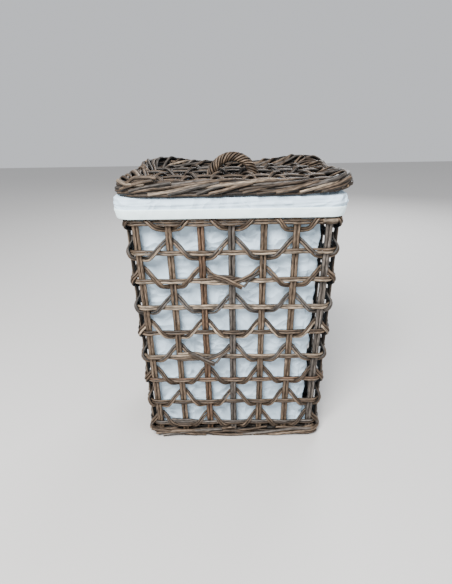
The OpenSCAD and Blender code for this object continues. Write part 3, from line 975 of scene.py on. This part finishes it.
def liner_profile(bag_low, top, cuff_low, outside):
    """Height and distance out from the wall of the sheet's rows: bag, fold and cuff."""
    z_bag = np.linspace(bag_low + 2 * MM, top - FOLD_BEND, BAG_ROWS)
    z_cuff = np.linspace(top - FOLD_BEND, cuff_low, CUFF_ROWS)
    turn = np.linspace(0, math.pi, FOLD_ROWS + 2)[1:-1]
    z_fold = top - FOLD_BEND + (FOLD_BEND - CLOTH_IN) * np.sin(turn) ** 0.45
    out_fold = (outside - BAG_BACK) / 2 - (outside + BAG_BACK) / 2 * np.cos(turn)
    z = np.concatenate([z_bag, z_fold, z_cuff])
    out = np.concatenate([np.full(BAG_ROWS, -BAG_BACK), out_fold, np.full(CUFF_ROWS, outside)])
    return z[:, None], out[:, None]


def cuff_place(wall):
    """Top of the fold, lower edge of the cuff and the cuff's distance out from the wall."""
    cuff_lo, cuff_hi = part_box("liner_cuff")
    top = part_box("liner_fold")[1].z
    return top, cuff_lo.z, cuff_hi.x - wall.half(top)[0] - CLOTH_IN


def make_liner(wall, cotton):
    """Bag, fold and cuff as one sheet, up inside the basket, over the rim and down outside it."""
    bag_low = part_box("liner_walls")[0].z
    top, cuff_low, outside = cuff_place(wall)
    z, out = liner_profile(bag_low, top, cuff_low, outside)
    row = np.arange(len(z))[:, None]
    in_bag = row < BAG_ROWS
    in_cuff = row >= BAG_ROWS + FOLD_ROWS
    half_w, half_d = wall.half(np.where(in_bag, z, top))
    slack = BAG_SLACK * in_bag * np.clip((top - z) / 0.05, 0, 1) ** 0.6
    hx, hy, r = half_w + out - slack / 2, half_d + out, CORNER_R + out
    s = np.arange(COLUMNS) / COLUMNS * loop_length(hx, hy, r)
    hx, hy, r, z, s = np.broadcast_arrays(hx, hy, r, z, s)
    points, normals = loop_at(s, hx, hy, r)
    push = (in_bag * bag_push(s, z, top, bag_low, points[..., 0] > half_w * 0.8)
            + in_cuff * cuff_push(s, z, top - FOLD_BEND, cuff_low))
    points = points + normals * push[..., None]
    points[..., 0] += RIM_SHIFT * (out + BAG_BACK) / (outside + BAG_BACK) - slack / 2
    sag = ~(in_bag | in_cuff) * ripple(s, out * 0.5, 11, ((0.12, 0.7), (0.04, 0.3))) * MM
    cloth = np.concatenate([points, (z + np.minimum(sag, 0))[..., None]], -1)
    nodes = ["liner_walls", "liner_fold", "liner_cuff"]
    return cloth_piece("liner.cloth", cloth, cotton, nodes)


def make_hem(wall, hem_cotton):
    """Doubled band along the cuff's edge, with its row of stitches."""
    low, high = (corner.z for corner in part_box("cuff_hem"))
    top, cuff_low, outside = cuff_place(wall)
    w, d = wall.half(top)
    size = (w + outside, d + outside, CORNER_R + outside)

    def on_cuff(s, z, lift):
        """Points lifted off the outside of the cuff."""
        points, normals = loop_at(s, *size)
        points[..., 0] += RIM_SHIFT
        push = cuff_push(s, z, top - FOLD_BEND, cuff_low) + lift
        return np.concatenate([points + normals * push[..., None], z[..., None]], -1)
    face = np.linspace(high, low - 0.4 * MM, 14)
    level = np.concatenate([[high - 0.6 * MM], face, [low - 0.8 * MM]])[:, None]
    lift = np.concatenate([[0.1], np.ones(len(face)), [-0.4]])[:, None] * HEM_THICK
    s, z = np.broadcast_arrays(np.arange(COLUMNS) / COLUMNS * loop_length(*size), level)
    hem = cloth_piece("liner.hem", on_cuff(s, z, lift), hem_cotton, ["cuff_hem"])
    thread = Bundle("liner.stitches", 710)
    along = np.array([0, 0.2, 0.5, 0.8, 1]) * STITCH
    puff = np.array([0, 0.25, 0.35, 0.25, 0]) * MM
    z = np.full(len(along), high - 3 * MM)
    for k in range(int(loop_length(*size) / STITCH_STEP)):
        path = on_cuff(k * STITCH_STEP + along, z, HEM_THICK + puff)
        thread.add(path, THREAD_R, UP, THREAD_WHITE, sides=5, cut=False)
    return hem, thread.build("liner", [], hem_cotton)


def make_liner_base(cotton):
    """Panel sewn into the bottom of the bag, slightly slack over the base canes."""
    lo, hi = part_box("liner_bottom")
    x = np.linspace(lo.x + 0.5 * MM, hi.x - 0.5 * MM, 60)[None, :]
    y = np.linspace(lo.y + 0.5 * MM, hi.y - 0.5 * MM, 44)[:, None]
    z = lo.z + 2 * MM + ripple(x, y, 21, ((0.11, 0.9), (0.05, 0.4))) * MM
    panel = np.stack(np.broadcast_arrays(x, y, z), -1)
    return cloth_piece("liner.base", panel, cotton, ["liner_bottom"], closed=False)


# ------------------------------------ studio

CAM_AT = (-0.0058, -0.9905, 0.7129)
CAM_PITCH, CAM_YAW, CAM_ROLL = 22.0, 0.6, -0.96
CAM_LENS = 27.06


def make_camera():
    data = bpy.data.cameras.new("camera")
    data.lens = CAM_LENS
    data.sensor_width = 36
    cam = new_object("camera", data)
    pitch, yaw, roll = (math.radians(a) for a in (CAM_PITCH, CAM_YAW, CAM_ROLL))
    look = Vector((-math.sin(yaw) * math.cos(pitch), math.cos(yaw) * math.cos(pitch), -math.sin(pitch)))
    right = Vector((math.cos(yaw), math.sin(yaw), 0))
    up = right.cross(look)
    side = math.cos(roll) * right + math.sin(roll) * up
    top = math.cos(roll) * up - math.sin(roll) * right
    cam.matrix_world = Matrix.Translation(CAM_AT) @ Matrix((side, top, -look)).transposed().to_4x4()
    bpy.context.scene.camera = cam


def make_floor():
    size, below = 6.0, 0.5 * MM
    grid = np.linspace(-size, size, 30)
    points = np.stack(np.broadcast_arrays(grid[None, :], grid[:, None], -below), -1)
    mesh = grid_mesh("floor", points, closed=False)
    mat, tree, shader = new_material("floor")
    cloudy = node(tree, "ShaderNodeTexNoise", Scale=3.0, Detail=3.0)["Fac"]
    tone = tree.nodes.new("ShaderNodeValToRGB")
    tone.color_ramp.elements[0].color = (0.50, 0.49, 0.48, 1)
    tone.color_ramp.elements[1].color = (0.56, 0.55, 0.54, 1)
    feed(tree, shader, Base_Color=feed(tree, tone, Fac=cloudy)["Color"], Roughness=0.8)
    mesh.materials.append(mat)
    new_object("floor", mesh)


def area_light(name, at, target, size, power, colour):
    data = bpy.data.lights.new(name, "AREA")
    data.shape = "RECTANGLE"
    data.size, data.size_y = size
    data.energy = power
    data.color = colour
    obj = new_object(name, data)
    obj.location = at
    obj.rotation_euler = (Vector(target) - Vector(at)).to_track_quat("-Z", "Y").to_euler()


def make_light():
    world = bpy.data.worlds.new("studio")
    bpy.context.scene.world = world
    world.use_nodes = True
    world.node_tree.nodes["Background"].inputs["Color"].default_value = (0.86, 0.88, 0.92, 1)
    world.node_tree.nodes["Background"].inputs["Strength"].default_value = 0.8
    area_light("key", (-0.7, -1.8, 2.3), (0, 0, 0.35), (1.1, 1.1), 225, (1, 0.99, 0.97))
    area_light("fill", (1.7, -1.2, 1.1), (0, 0, 0.3), (1.4, 1.4), 14, (0.93, 0.96, 1))
    area_light("back", (0.9, 2.2, 1.8), (0, 0, 0.35), (1.2, 1.2), 70, (0.96, 0.98, 1))


make_camera()
make_floor()
make_light()
wall = Wall()
cane = cane_material("cane", 0.48, 0.93)
rough_cane = cane_material("rough.cane", 0.55)
lid_cane = cane_material("lid.cane", 0.55, 0.74)
cotton = cotton_material("cotton", (0.56, 0.71, 0.84), 0.48)
# the hem's cotton is whiter than the bag's and cuff's: partly the doubled cloth, partly painted light on
# the band
hem_cotton = cotton_material("hem.cotton", (0.81, 0.97, 1.0), 0.12)
make_posts(wall, cane)
make_rails(wall, cane)
make_waves(wall, cane)
make_rim(wall, rough_cane)
make_foot(wall, rough_cane)
make_base(cane)
make_lid_border(lid_cane)
make_lid_ribs(lid_cane)
make_lid_rails(lid_cane)
make_lid_waves(lid_cane)
make_handle(rough_cane)
bag = make_liner(wall, cotton)
hem, stitches = make_hem(wall, hem_cotton)
base_panel = make_liner_base(cotton)
